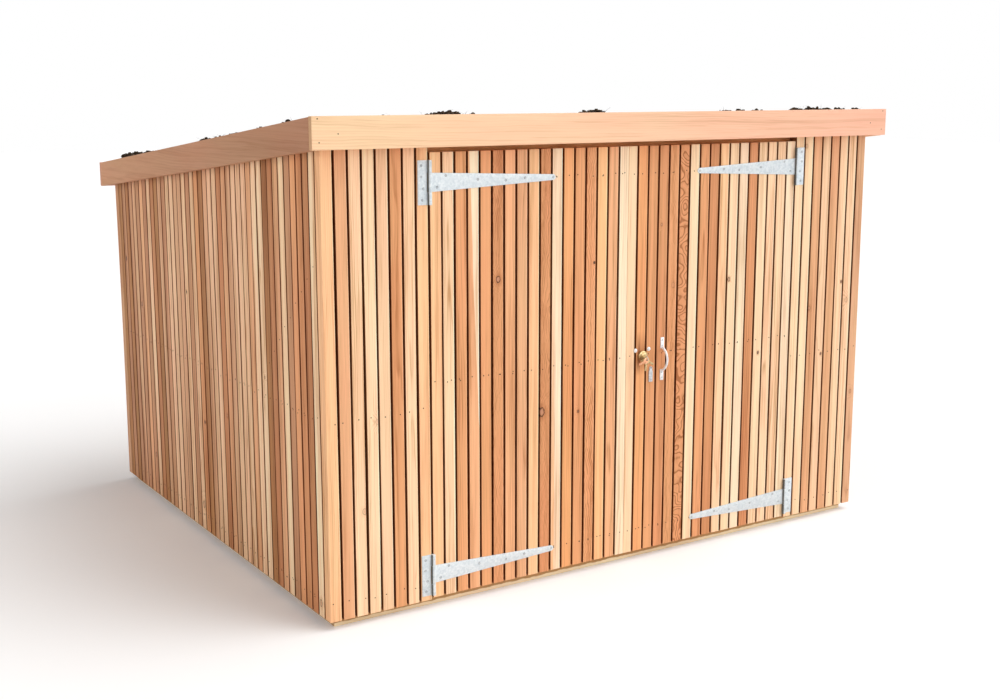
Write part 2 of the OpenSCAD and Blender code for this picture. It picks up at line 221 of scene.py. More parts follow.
# %% Studio
GLOW = 0.34
LAMP_SPREAD = math.radians(50)
KEY_STRENGTH = 1.32
KEY_SIDE = math.radians(42)
KEY_RISE = math.radians(15)
TOP_STRENGTH = 1.8
TOP_SIDE = math.radians(62)
TOP_RISE = math.radians(60)
FILL_STRENGTH = 1.0
FILL_SIDE = math.radians(-85)
FILL_RISE = math.radians(5)
FILL_COLOUR = (1.0, 0.93, 0.87)
FLOOR_SIZE = 60.0
FLOOR_DROP = 0.0006
FLOOR_COLOUR = (0.95, 0.95, 0.95, 1.0)
FLOOR_LIFT = 0.13


def seen_directly(finish):
    """1 for the rays that show a surface to the camera, straight or by reflection."""
    path = finish.tree.nodes.new("ShaderNodeLightPath").outputs
    seen = finish.sum("MAXIMUM", path["Is Camera Ray"], path["Is Glossy Ray"])
    return finish.sum("MAXIMUM", seen, path["Is Transmission Ray"])


def studio_world():
    world = bpy.data.worlds.new("studio")
    sky = Nodes(world)
    glow = sky.tree.nodes["Background"]
    glow.inputs["Color"].default_value = grey(1.0)
    sky.feed(glow.inputs["Strength"], sky.span(seen_directly(sky), 0.0, 1.0, GLOW, 1.0, smooth=False))
    scene.world = world


def studio_floor():
    finish = Finish("studio_floor")
    finish.set("Base Color", FLOOR_COLOUR)
    finish.set("Roughness", 0.9)
    finish.set("Specular IOR Level", 0.0)
    finish.set("Emission Color", grey(1.0))
    lift = finish.times(seen_directly(finish), FLOOR_LIFT)
    finish.set("Emission Strength", lift)
    half = FLOOR_SIZE / 2
    corners = [(-half, -half), (half, -half), (half, half), (-half, half)]
    mesh = bpy.data.meshes.new("studio_floor")
    mesh.from_pydata([(x, y, -FLOOR_DROP) for x, y in corners], [], [(0, 1, 2, 3)])
    mesh.materials.append(finish.material)
    floor = bpy.data.objects.new("studio_floor", mesh)
    scene.collection.objects.link(floor)
    floor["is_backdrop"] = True


def studio_lamp(name, strength, side, rise, colour=(1.0, 1.0, 1.0)):
    lamp = bpy.data.lights.new(name, "SUN")
    lamp.energy = strength
    lamp.color = colour
    lamp.angle = LAMP_SPREAD
    holder = bpy.data.objects.new(name, lamp)
    holder.rotation_euler = (math.pi / 2 - rise, 0, side)
    scene.collection.objects.link(holder)


studio_world()
studio_floor()
studio_lamp("soft_key", KEY_STRENGTH, KEY_SIDE, KEY_RISE)
studio_lamp("soft_top", TOP_STRENGTH, TOP_SIDE, TOP_RISE)
studio_lamp("side_fill", FILL_STRENGTH, FILL_SIDE, FILL_RISE, FILL_COLOUR)
print("light: key", KEY_STRENGTH, "glow", GLOW)

# %% [markdown]
# ## The tones of cedar
# Western red cedar is never one colour. Sapwood is cream, and heartwood runs from pink and honey
# to orange, tan and umber, often on neighbouring boards. One average brown would look like
# plastic, so each batten gets its own tone from this short palette, chosen by name, and a small
# seeded drift of its own on top.

# %% Cedar palette
# c to h are cream to honey, t to s tan to umber, f, r and n for fascias, y and v for deck and head
CEDAR = {
    "c": linear(253, 223, 189),
    "e": linear(253, 217, 177),
    "k": linear(252, 209, 168),
    "p": linear(251, 196, 147),
    "h": linear(250, 191, 136),
    "t": linear(238, 177, 130),
    "o": linear(235, 166, 110),
    "b": linear(227, 161, 111),
    "d": linear(228, 171, 126),
    "g": linear(218, 168, 128),
    "u": linear(214, 147, 99),
    "s": linear(197, 143, 103),
    "f": linear(253, 213, 172),
    "r": linear(243, 185, 157),
    "a": linear(240, 196, 156),
    "n": linear(174, 125, 92),
    "w": linear(196, 132, 86),
    "x": linear(178, 122, 71),
    "y": linear(255, 232, 195),
    "v": linear(230, 174, 120),
}
TONE_DRIFT = 0.015
chance = random.Random(20)


def drifted(tone):
    """A tone of the palette with a little lightness and warmth of its own."""
    lift = 1 + chance.gauss(0, TONE_DRIFT)
    warmth = chance.gauss(0, TONE_DRIFT / 2)
    red, green, blue, _ = CEDAR[tone]
    return (red * lift, green * lift * (1 - warmth / 2), blue * lift * (1 - warmth), 1.0)


print("cedar tones:", len(CEDAR))

# %% [markdown]
# ## The cedar finish
# Timber is a solid: its rings are cylinders round the pith of the tree, and each face of a board
# shows a cut through them. A picture of wood wrapped on a box would not meet at the corners. So
# every board carries its own grain coordinates, which say where it was sawn from the log, and the
# finish works out the distance from the pith at each point. Faces, edges and end grain then agree.
# Streaks along the fibres, sapwood, knots with the rings flowing round them, and darker ends are
# added to that, and the same rings give the bump. The flanks inside the gaps get painted shade, the
# arrises on the side towards the lamps a painted highlight, and the top of the floor deck's edge a
# broken band of painted shadow under the feet of the battens.

# %% Cedar shader
KNOT_DARK = (0.060, 0.022, 0.010, 1.0)
END_SHADE = (0.62, 0.54, 0.46, 1.0)
# Painted shade for the flanks inside the gaps between battens
FLANK_SHADE = (0.26, 0.14, 0.07, 1.0)
# Painted highlight on the arris of the side towards the lamps, and the shares across the board over which it comes
# in
ARRIS_HIGHLIGHT = (1.22, 1.34, 1.50, 1.0)
ARRIS_HIGHLIGHT_SHARES = (0.905, 0.955)
# Painted shadow under the feet of the battens on the deck's edge: its colour, how much it is broken, and the
# shares up the edge over which it comes in
FEET_SHADOW_COLOUR = (0.50, 0.34, 0.20, 1.0)
FEET_SHADOW_BREAK = 0.30
FEET_SHADOW_SHARES = (0.52, 0.64)
KNOT_HEART = (0.62, 0.30, 0.18, 1.0)
KNOT_HALO = (0.70, 0.55, 0.42, 1.0)
PALE_WOOD = (1.17, 1.20, 1.25, 1.0)
DEEP_WOOD = (0.62, 0.49, 0.36, 1.0)
PINK_WOOD = (1.03, 0.965, 0.955, 1.0)
HONEY_WOOD = (0.99, 1.01, 0.98, 1.0)
# How often each field changes across, through and along the grain, per metre
DRIFT_RATE = (14.0, 14.0, 1.7)
SWIRL_RATE = (13.0, 13.0, 15.0)
STREAK_RATE = (95.0, 95.0, 1.1)
FIBRE_RATE = (420.0, 420.0, 7.0)
CLOUD_RATE = (24.0, 24.0, 1.6)
WARMTH_RATE = (9.0, 9.0, 2.1)
RAGGED_RATE = (260.0, 260.0, 170.0)
# The last rate is for the breaks in the painted shadow under the batten feet
FEET_SHADOW_RATE = (30.0, 30.0, 30.0)


def timber_colour(wood, ring_gap, ring_depth, streak_depth, wander):
    """The colour of the timber, its rings and its streaks, from the board's own coordinates."""
    grain = wood.attribute("grain")
    figure, sap, end = (wood.part(wood.attribute("board"), index) for index in range(3))
    centre = (0.5, 0.5, 0.5)
    drift = wood.vector("SUBTRACT", wood.noise(grain, DRIFT_RATE, 3.0, 1), centre)
    swirl = wood.vector("SUBTRACT", wood.noise(grain, SWIRL_RATE, 1.0, 1), centre)
    swirl = wood.scaled(swirl, wood.times(figure, 0.10))
    place = wood.vector("ADD", wood.vector("ADD", grain, wood.scaled(drift, wander)), swirl)
    radius = wood.vector("LENGTH", wood.vector("MULTIPLY", place, (1.0, 1.0, 0.0)), out=1)
    away = knot_distance(wood, grain)
    push = wood.span(away, 0.0, 5.0, ring_gap * 3.0, 0.0)
    gap = wood.times(wood.plus(wood.times(figure, 1.3), 1.0), ring_gap)
    turns = wood.sum("FRACT", wood.sum("DIVIDE", wood.plus(radius, push), gap))
    ring = wood.ramp(turns, (0.0, grey(0.1)), (0.55, grey(0.3)), (0.86, grey(1.0)), (1.0, grey(0.1)))

    streak = wood.noise(place, STREAK_RATE, 3.0)
    fibre = wood.noise(place, FIBRE_RATE)
    cloud = wood.noise(place, CLOUD_RATE)
    ring_share = wood.times(wood.plus(wood.times(figure, 3.2), 1.0), ring_depth)
    depth = wood.times(wood.less(ring, 0.38), ring_share)
    for field, share in ((streak, 1.0), (fibre, 0.6), (cloud, 1.0)):
        part = wood.times(wood.less(field, 0.5), streak_depth * share)
        depth = wood.plus(depth, part)
    tint = wood.ramp(wood.plus(depth, 0.5), (0.0, PALE_WOOD), (0.5, grey(1.0)), (1.0, DEEP_WOOD))
    warmth = wood.noise(grain, WARMTH_RATE)
    hue = wood.ramp(warmth, (0.35, PINK_WOOD), (0.65, HONEY_WOOD))

    slant = wood.times(wood.part(drift, 0), 0.022)
    sapwood = wood.span(wood.plus(sap, slant), -0.0012, 0.0012)
    colour = wood.mix(sapwood, wood.attribute("tone", 0), CEDAR["c"])
    colour = wood.shaded(wood.shaded(colour, hue), tint)
    colour = knotted(wood, colour, away)
    colour = wood.mix(end, colour, wood.shaded(colour, END_SHADE))
    return colour, ring, streak, fibre


def knot_distance(wood, grain):
    """Distance from the board's knot, in knot radii, with a ragged edge."""
    flat = wood.vector("MULTIPLY", wood.attribute("knot"), (1.0, 0.0, 0.72))
    ragged = wood.less(wood.noise(grain, RAGGED_RATE), 0.5)
    return wood.plus(wood.vector("LENGTH", flat, out=1), wood.times(ragged, 0.55))


def knotted(wood, colour, away):
    """A knot: a live one is a dark ring round a red heart, a dead one (strength 2) is all dark."""
    strength = wood.part(wood.attribute("knot"), 1)
    live = wood.sum("MINIMUM", strength, 1.0)
    dead = wood.span(strength, 1.0, 2.0)
    halo = wood.shaded(colour, KNOT_HALO)
    colour = wood.mix(wood.times(wood.span(away, 1.0, 2.6, 0.55, 0.0), live), colour, halo)
    heart = wood.times(wood.span(away, 0.35, 0.85, 0.75, 0.0), live)
    colour = wood.mix(heart, colour, KNOT_HEART)
    rim = wood.add("Math", {0: wood.less(away, 0.9)}, operation="ABSOLUTE")
    ring = wood.times(wood.span(rim, 0.06, 0.22, 0.9, 0.0), live)
    colour = wood.mix(ring, colour, KNOT_DARK)
    return wood.mix(wood.times(wood.span(away, 0.75, 1.15, 1.0, 0.0), dead), colour, KNOT_DARK)


def timber_finish(name, ring_gap, ring_depth, streak_depth, wander, dull):
    """A finish for sawn timber; ring_gap is in metres and dull is its mean roughness."""
    wood = Finish(name)
    colour, ring, streak, fibre = timber_colour(wood, ring_gap, ring_depth, streak_depth, wander)
    flank, across, under = (wood.part(wood.attribute("edge"), index) for index in range(3))
    # Painted highlight on the arris of the side towards the lamps; across here is that share across the board
    colour = wood.mix(wood.span(across, *ARRIS_HIGHLIGHT_SHARES), colour, wood.shaded(colour, ARRIS_HIGHLIGHT))
    # Painted shade on the flanks inside the gaps
    colour = wood.mix(flank, colour, wood.shaded(colour, FLANK_SHADE))
    # Painted shadow: a broken brown band under the feet of the battens
    broken = wood.times(wood.noise(wood.attribute("grain"), FEET_SHADOW_RATE), FEET_SHADOW_BREAK)
    feet_shadow = wood.span(wood.plus(under, broken), *FEET_SHADOW_SHARES)
    colour = wood.mix(feet_shadow, colour, wood.shaded(colour, FEET_SHADOW_COLOUR))
    wood.set("Base Color", colour)
    rough = wood.span(streak, 0.25, 0.75, dull - 0.07, dull + 0.07, smooth=False)
    wood.set("Roughness", rough)
    wood.set("Specular IOR Level", 0.32)
    wood.bump(wood.plus(wood.times(ring, 0.35), fibre), 0.0004, 0.35)
    return wood.material


cedar_planed = timber_finish("cedar_planed", ring_gap=0.0040, ring_depth=0.36, streak_depth=1.05,
                             wander=0.016, dull=0.58)
print("made", cedar_planed.name)

# %% [markdown]
# ## From a CAD box to a sawn board
# The frame gives each batten as an exact box. A planed batten has eased arrises that catch the
# light, and it is never quite straight. A Bevel modifier on the whole row would do the first, but
# each board also needs its own grain, tone and bow. So every board is taken out of its node as a
# small mesh, cut across a few times so that it can bend, bevelled, bowed, and then joined again
# with its neighbours into one mesh.

# %% Take boards out of a node
WELD = 1e-5
FLAT = math.radians(1)


def copied(faces):
    """The given faces as a mesh of their own, with flat neighbours joined."""
    board = bmesh.new()
    corner = {}
    for face in faces:
        for vert in face.verts:
            if vert.index not in corner:
                corner[vert.index] = board.verts.new(vert.co)
    for face in faces:
        board.faces.new([corner[vert.index] for vert in face.verts])
    bmesh.ops.dissolve_limit(board, angle_limit=FLAT, verts=board.verts, edges=board.edges)
    return board


def points(face):
    return [vert.index for vert in face.verts]


def box_of(board):
    places = np.array([vert.co for vert in board.verts])
    return places.min(0), places.max(0)


def boards_of(node):
    """Each separate solid of a CAD node as a small mesh, sorted by place."""
    whole = bmesh.new()
    whole.from_mesh(frame["nodes"][node].data)
    bmesh.ops.remove_doubles(whole, verts=whole.verts, dist=WELD)
    whole.verts.index_update()
    whole.faces.index_update()
    seen = set()
    boards = []
    for first in whole.faces:
        if first.index in seen:
            continue
        seen.add(first.index)
        group = [first]
        for face in group:
            for edge in face.edges:
                for other in edge.link_faces:
                    if other.index not in seen:
                        seen.add(other.index)
                        group.append(other)
        boards.append(copied(group))
    whole.free()
    return sorted(boards, key=lambda board: [round(float(value), 4) for value in box_of(board)[0]])


print("left wall boards:", len(boards_of("left_wall_battens")))

# %% Ease a board and give it grain
SHARP = math.radians(30)
SHORT_EDGE = 0.008
ARRIS = 0.0012
FAR_KNOT = 60.0
LEAN = 0.004
PITH_AWAY = (0.03, 0.14)
LOG_SHIFT = 40
FACING = 0.7
TOP_SHARE = 0.99


def rounded(solid, edges, size):
    """Rounds the given edges of a solid and returns the new faces."""
    made = bmesh.ops.bevel(solid, geom=edges, offset=size, segments=2, profile=0.5, affect="EDGES",
                           clamp_overlap=True)
    bmesh.ops.recalc_face_normals(solid, faces=solid.faces)
    return made["faces"]


def eased(board, along, arris, cuts, square=None):
    """Cuts a board across so that it can bend, and rounds its arrises; square leaves one side sharp."""
    low, high = box_of(board)
    direction = Vector([float(axis == along) for axis in range(3)])
    for count in range(1, cuts + 1):
        place = Vector(low.tolist())
        place[along] += (high - low)[along] * count / (cuts + 1)
        pieces = board.verts[:] + board.edges[:] + board.faces[:]
        bmesh.ops.bisect_plane(board, geom=pieces, dist=WELD, plane_co=place, plane_no=direction)
    sharp = []
    for edge in board.edges:
        if not edge.is_manifold or edge.calc_face_angle() < SHARP or edge.calc_length() < SHORT_EDGE:
            continue
        if square and all(abs(vert.co[square[0]] - square[1]) < WELD for vert in edge.verts):
            continue
        sharp.append(edge)
    for face in rounded(board, sharp, arris):
        face.smooth = True


def grained(board, along, across, look, bow):
    """The board's places, faces and grain, as arrays; look says how it was sawn and coloured."""
    board.verts.index_update()
    board.normal_update()
    places = np.array([vert.co for vert in board.verts])
    faces = [points(face) for face in board.faces]
    smooth = [face.smooth for face in board.faces]
    through = 3 - along - across
    low, high = places.min(0), places.max(0)
    size = high - low
    share = (places - low) / size
    middle = places - (low + high) / 2
    angle = chance.uniform(0, 2 * math.pi)
    depth = chance.uniform(*look.get("pith", PITH_AWAY))
    lean = [chance.uniform(-LEAN, LEAN) * look.get("lean", 1.0) for _ in range(2)]
    grain = np.empty_like(places)
    grain[:, 0] = middle[:, across] + depth * math.cos(angle) + lean[0] * middle[:, along]
    grain[:, 1] = middle[:, through] + depth * math.sin(angle) + lean[1] * middle[:, along]
    grain[:, 2] = middle[:, along] + chance.uniform(0, LOG_SHIFT)
    knot = np.full_like(places, FAR_KNOT)
    if look.get("knot"):
        side, up, radius, strength = look["knot"]
        knot[:, 0] = (share[:, across] - side) * size[across] / radius
        knot[:, 1] = strength
        knot[:, 2] = (share[:, along] - up) * size[along] / radius
    ends = np.zeros(len(places))
    for face in board.faces:
        if abs(face.normal[along]) > FACING and not face.smooth:
            ends[points(face)] = 1
    # Painted shade: flat flanks that face a gap, and on side boards their arrises too, are marked to be darkened
    edge = np.zeros_like(places)
    for face in board.faces:
        side = face.normal[across]
        rough = not face.smooth or look.get("shaded_arris")
        if look.get("in_gap") and abs(side) > FACING and rough and side * look.get("open", 0) <= 0:
            edge[points(face), 0] = 1
    # Where the painted arris highlight goes: the share across the board, on boards that carry it
    edge[:, 1] = share[:, across] * look.get("arris_highlight", 0)
    # Where the painted shadow under the batten feet goes: the share up through the board, save its very top
    edge[:, 2] = np.where(share[:, through] > TOP_SHARE, 0.0, share[:, through]) * look.get("under", 0)
    sap = np.full(len(places), -1.0)
    if look.get("sap"):
        foot, top, way = look["sap"]
        border = foot + (top - foot) * share[:, along]
        sap = (share[:, across] - border) * size[across] * way
    start = np.array(drifted(look["tone"]))
    finish = np.array(drifted(look["to"])) if "to" in look else start
    tone = start + (finish - start) * share[:, along][:, None]
    sway = chance.uniform(-bow, bow) * np.sin(math.pi * share[:, along])
    sway += chance.uniform(-bow, bow) / 2 * np.sin(2 * math.pi * share[:, along])
    places[:, across] += sway + chance.uniform(-bow, bow) * look.get("astray", 0.0)
    marks = np.column_stack([np.full(len(places), look.get("figure", 0.0)), sap, ends])
    board.free()
    return {"places": places, "faces": faces, "smooth": smooth, "grain": grain, "knot": knot,
            "board": marks, "edge": edge, "tone": tone}


print("boards are eased by", ARRIS * 1000, "mm")

# %% [markdown]
# ## Joining boards into one piece
# A shelter has nearly two hundred battens. An object for each would be slow to move and to export,
# so a row is joined into one mesh. The grain, tone and knots stay with the points as named
# attributes, which the finish reads. The new piece then takes the place of its CAD node and rides
# on the same body, so a door carries its own battens.

# %% Join boards
BODY_OF = {name: body for body, names in frame["record"]["behaviour"]["bodies"].items() for name in names}


def append_shape(places, faces, more_places, more_faces):
    """Adds a shape to growing lists of places and faces."""
    first = len(places)
    places.extend(more_places)
    faces.extend([[index + first for index in face] for face in more_faces])


def mesh_piece(name, places, faces, smooth, finish):
    """A new object from plain lists, linked to the scene."""
    mesh = bpy.data.meshes.new(name)
    mesh.from_pydata([tuple(place) for place in places], [], faces)
    mesh.polygons.foreach_set("use_smooth", smooth)
    mesh.materials.append(finish)
    mesh.update()
    piece = bpy.data.objects.new(name, mesh)
    scene.collection.objects.link(piece)
    return piece


def stands_for(piece, node):
    """Hides the CAD node and lets the piece ride in its place."""
    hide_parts(node)
    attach(piece, BODY_OF[node])
    return piece


def joined_timber(node, parts, finish):
    places, faces, smooth = [], [], []
    for part in parts:
        append_shape(places, faces, part["places"].tolist(), part["faces"])
        smooth.extend(part["smooth"])
    piece = mesh_piece(node + "_timber", places, faces, smooth, finish)
    for name in ("grain", "knot", "board", "edge", "tone"):
        values = np.concatenate([part[name] for part in parts]).astype(np.float32)
        kind, field = ("FLOAT_COLOR", "color") if name == "tone" else ("FLOAT_VECTOR", "vector")
        made = piece.data.attributes.new(name, kind, "POINT")
        made.data.foreach_set(field, values.ravel())
    return stands_for(piece, node)


X, Y, Z = range(3)
faces_of = {}


def timber(node, along, across, looks, finish, arris=ARRIS, cuts=8, bow=0.0, fit=None):
    """Makes a node's boards into timber; fit may reshape a board and say which side stays square."""
    parts = []
    faces_of[node] = []
    for index, (board, look) in enumerate(zip(boards_of(node), looks)):
        square = fit(index, board) if fit else None
        faces_of[node].append(box_of(board))
        eased(board, along, arris, cuts, square)
        parts.append(grained(board, along, across, look, 0.0 if square else bow))
    piece = joined_timber(node, parts, finish)
    print(piece.name, "boards:", len(parts), "points:", len(piece.data.vertices))
    return piece


# %% [markdown]
# ## Cladding of the front
# The front has a fixed panel of eight battens on each side and two door leaves of seventeen. Each
# leaf ends in a narrow closing batten, and the pair meets in a hairline joint in the middle. The
# tones are set board by board, because on a wall this plain the run of pale and dark boards is
# what the eye remembers. Knots and sapwood edges are placed on the boards that have them.

# %% Front battens
FRONT_BOW = 0.0010
CLOSING_JOINT = 0.0017
FIXED_LEFT = "pdkfabkp"
LEFT_LEAF = "pkbtbbtdpupobbht" + "c"
RIGHT_LEAF = "f" + "obubuebukfcuekkc"
FIXED_RIGHT = "ffdadkkg"
# Knots by board: place across and up the board as shares, radius, and strength
KNOTS = {
    "front_left_battens": {
        2: (0.85, 0.23, 0.007, 0.45), 3: (0.92, 0.42, 0.006, 0.35),
    },
    "left_door_battens": {
        5: (0.5, 0.713, 0.0078, 1.2), 9: (0.16, 0.392, 0.011, 1.2),
        12: (0.48, 0.38, 0.0038, 1.6), 13: (0.86, 0.732, 0.0034, 2.0),
    },
    "right_door_battens": {
        3: (0.3, 0.81, 0.0035, 0.8), 4: (0.62, 0.66, 0.0075, 0.3),
        10: (0.16, 0.66, 0.0055, 1.25), 13: (0.6, 0.46, 0.0042, 1.7),
    },
    "front_right_battens": {
        1: (0.12, 0.965, 0.0055, 0.6), 2: (0.1, 0.55, 0.006, 0.6), 3: (0.75, 0.425, 0.004, 1.6),
        5: (0.85, 0.61, 0.004, 1.6), 6: (0.5, 0.56, 0.007, 0.5), 7: (0.45, 0.31, 0.005, 0.6),
    },
}
# Boards with sapwood: the border's place at the foot and the top, and the side that is pale
SAPWOOD = {"left_door_battens": {3: (1.5, 0.1, 1), 10: (0.35, 0.0, 1)}}
# Boards with bold figure, where the saw ran along the rings
FIGURED = {"right_door_battens": {5: 0.85, 4: 0.2}, "left_door_battens": {5: 0.25, 9: 0.3, 13: 0.25}}
# Boards whose tone changes from foot to top
TURNING = {"left_door_battens": {5: "u", 10: "c"}, "right_door_battens": {9: "p"}}


def looks_for(node, tones, open_ends):
    """One look for each front batten; open_ends are the two end flanks that face no gap."""
    tables = (KNOTS, SAPWOOD, FIGURED, TURNING)
    knots, sapwood, figured, turning = (table.get(node, {}) for table in tables)
    looks = []
    for index, tone in enumerate(tones):
        # Two boards in three get a painted highlight on one arris, and all get painted shade in the gaps
        looks.append({"tone": tone, "to": turning.get(index, tone), "knot": knots.get(index),
                      "sap": sapwood.get(index), "figure": figured.get(index, 0.0),
                      "arris_highlight": chance.choice((0, 1, 1)), "in_gap": True})
    if open_ends[0]:
        looks[0]["open"] = -1
    if open_ends[1]:
        looks[-1]["open"] = 1
    return looks


def close_joint(last, way):
    """Widens the closing batten towards the meeting line and keeps that edge square."""
    def fit(index, board):
        if index != last:
            return None
        low, high = box_of(board)
        edge = high[X] if way > 0 else low[X]
        for vert in board.verts:
            if abs(vert.co.x - edge) < WELD:
                vert.co.x += way * CLOSING_JOINT
        return X, edge + way * CLOSING_JOINT
    return fit


def front_battens(node, tones, open_ends, fit=None):
    timber(node, Z, X, looks_for(node, tones, open_ends), cedar_planed, bow=FRONT_BOW, fit=fit)


front_battens("front_left_battens", FIXED_LEFT, (True, False))
front_battens("front_right_battens", FIXED_RIGHT, (False, True))
front_battens("left_door_battens", LEFT_LEAF, (False, True), close_joint(len(LEFT_LEAF) - 1, 1))
front_battens("right_door_battens", RIGHT_LEAF, (True, False), close_joint(0, -1))

# %% [markdown]
# ## Cladding of the sides and the back
# The long sides are the same battens, set a little closer. They waver more and are more streaked,
# because nobody sorts boards for a side wall. The left side's tones follow its run of boards; they
# are partly the boards' own tones and partly painted shade, since the boards towards the back are
# set darker for the light that falls off along the wall. The right side and the back are drawn from
# the same palette by a seeded choice, with a knot on about one board in eight.

# %% Side and back battens
SIDE_BOW = 0.0020
# Left side tones from front to back; the darker run towards the back is partly painted shade for the light falling
# off along the wall
LEFT_SIDE = "ewubskdwxekdaaagdwaagxbaskggaasgxwasdsgsxsx"
SIDE_MIX = "ekaaatddbbggusssxw"
KNOT_CHANCE = 0.13
KNOT_SIZES = (0.003, 0.006)
KNOT_STRENGTHS = (0.2, 1.6)
ASTRAY = 0.8
LEFT_SIDE_KNOTS = {0: (0.6, 0.03, 0.008, 0.9), 22: (0.4, 0.31, 0.0045, 2.0), 23: (0.4, 0.07, 0.009, 0.8),
                   25: (0.6, 0.66, 0.004, 2.0), 41: (0.5, 0.74, 0.006, 1.6)}


def mixed_looks(count, tones=None, knots=None):
    looks = []
    for index in range(count):
        tone = tones[index] if tones else chance.choice(SIDE_MIX)
        # Side boards get painted shade in the gaps, their arrises included
        look = {"tone": tone, "in_gap": True, "shaded_arris": True, "astray": ASTRAY}
        if knots and index in knots:
            look["knot"] = knots[index]
        elif chance.random() < KNOT_CHANCE:
            radius, strength = chance.uniform(*KNOT_SIZES), chance.uniform(*KNOT_STRENGTHS)
            look["knot"] = (chance.uniform(0.2, 0.8), chance.uniform(0.08, 0.95), radius, strength)
        looks.append(look)
    return looks


cedar_side = timber_finish("cedar_side", ring_gap=0.0040, ring_depth=0.42, streak_depth=1.45,
                           wander=0.016, dull=0.62)
left_looks = mixed_looks(len(LEFT_SIDE), LEFT_SIDE, LEFT_SIDE_KNOTS)
timber("left_wall_battens", Z, Y, left_looks, cedar_side, bow=SIDE_BOW)
timber("right_wall_battens", Z, Y, mixed_looks(len(LEFT_SIDE)), cedar_side, bow=SIDE_BOW)
back_looks = mixed_looks(len(boards_of("back_wall_battens")))
back_looks[0].update(open=-1, tone="g")
back_looks[-1].update(open=1)
timber("back_wall_battens", Z, X, back_looks, cedar_side, bow=SIDE_BOW)

# %% [markdown]
# ## Fascia boards
# A deep planed board runs round the roof tray. The front board covers the ends of the side ones,
# and its colour drifts from cream at one end to pink at the other. It is flat sawn, so the rings
# run out in long tongues; a pith far behind the face and a stronger lean give that figure.

# %% Fascia
cedar_fascia = timber_finish("cedar_fascia", ring_gap=0.006, ring_depth=0.13, streak_depth=0.50,
                             wander=0.030, dull=0.55)
FASCIA_ARRIS = 0.0018
FASCIA_LOOK = {"pith": (0.10, 0.16), "lean": 6.0}
FASCIA_CUTS = 12
FASCIA_TONES = {"front": "fr", "back": "rp", "left": "ns", "right": "kp"}
for side, (first, last) in FASCIA_TONES.items():
    run = X if side in ("front", "back") else Y
    look = {"tone": first, "to": last, **FASCIA_LOOK}
    timber(side + "_fascia", run, Z, [look], cedar_fascia, FASCIA_ARRIS, FASCIA_CUTS)

# %% [markdown]
# ## Frame, ledges and braces
# Behind the battens stand sawn posts, rails, rafters and the ledges and braces of the doors. They
# show through the gaps and when the doors are open. Sawn timber is duller and rougher than planed
# cedar, with a wider ring, so it has a finish of its own made by the same function.

# %% Frame timbers
sawn_frame = timber_finish("sawn_frame", ring_gap=0.0046, ring_depth=0.42, streak_depth=0.60,
                           wander=0.020, dull=0.78)
FRAME_ARRIS = 0.002
FRAME_CUTS = 4
FRAME_TONES = "dgs"
# The axis that each frame timber runs along and the one across its face
FRAME_RUNS = {
    "corner_posts": (Z, X), "door_posts": (Z, X), "door_head": (X, Z), "left_wall_rails": (Y, Z),
    "right_wall_rails": (Y, Z), "back_wall_rails": (X, Z), "front_panel_rails": (X, Z), "rafters": (Y, X),
    "left_wall_brace": (Z, Y), "right_wall_brace": (Z, Y),
    "left_door_ledges": (X, Z), "right_door_ledges": (X, Z),
    "left_door_braces": (Z, X), "right_door_braces": (Z, X),
}
for node, (along, across) in FRAME_RUNS.items():
    looks = [{"tone": "v" if node == "door_head" else chance.choice(FRAME_TONES)} for _ in boards_of(node)]
    timber(node, along, across, looks, sawn_frame, FRAME_ARRIS, FRAME_CUTS)

# %% [markdown]
# ## Floor deck and roof deck
# Both decks are sheets of faced ply. A peeled veneer shows very wide, lazy rings, so the same
# finish is used with a large ring gap and a pith far away. The upper part of the floor's edge gets
# a broken brown band of painted shadow under the feet of the battens.

# %% Decks
faced_ply = timber_finish("faced_ply", ring_gap=0.014, ring_depth=0.28, streak_depth=0.40,
                          wander=0.040, dull=0.70)
DECK_LOOK = {"pith": (0.5, 0.6), "lean": 3.0}
DECK_CUTS = 10
# The floor's edge carries the painted shadow under the batten feet
timber("floor_deck", X, Y, [{"tone": "y", "under": 1, **DECK_LOOK}], faced_ply, cuts=DECK_CUTS)
timber("roof_deck", X, Y, [{"tone": "d", **DECK_LOOK}], faced_ply, cuts=DECK_CUTS)

# %% [markdown]
# ## Brad heads
# Each batten is fixed with brads at every rail, and their small dark heads draw dotted lines
# across the cladding. They are too many for separate objects and too crisp for a texture, so one
# little dome is copied into a single mesh for each body, with a seeded scatter like a nail gun's.

# %% Copies of one small shape
def drawn(shape):
    """A small mesh as plain lists of places and faces."""
    shape.verts.index_update()
    places = [tuple(vert.co) for vert in shape.verts]
    faces = [points(face) for face in shape.faces]
    shape.free()
    return places, faces


def standing(place, normal):
    """A frame at the given place whose Z is the given outward direction."""
    return Matrix.Translation(place) @ Vector(normal).to_track_quat("Z", "Y").to_matrix().to_4x4()


def band_faces(bands, sides):
    """Four-sided faces between rings of points that stand one above the other."""
    faces = []
    for ring in range(bands):
        for side in range(sides):
            a = ring * sides + side
            b = ring * sides + (side + 1) % sides
            faces.append([a, b, b + sides, a + sides])
    return faces


def dome(radius, height, sides, rings=2):
    """A low round head: a rim, rings that rise to it and a point in the middle."""
    places = []
    for ring in range(rings + 1):
        slope = ring / (rings + 1) * math.pi / 2
        for side in range(sides):
            turn = 2 * math.pi * side / sides
            spread = radius * math.cos(slope)
            places.append((spread * math.cos(turn), spread * math.sin(turn), height * math.sin(slope)))
    places.append((0, 0, height))
    faces = band_faces(rings, sides)
    last = rings * sides
    faces.extend([[last + side, last + (side + 1) % sides, len(places) - 1] for side in range(sides)])
    faces.append(list(reversed(range(sides))))
    return places, faces


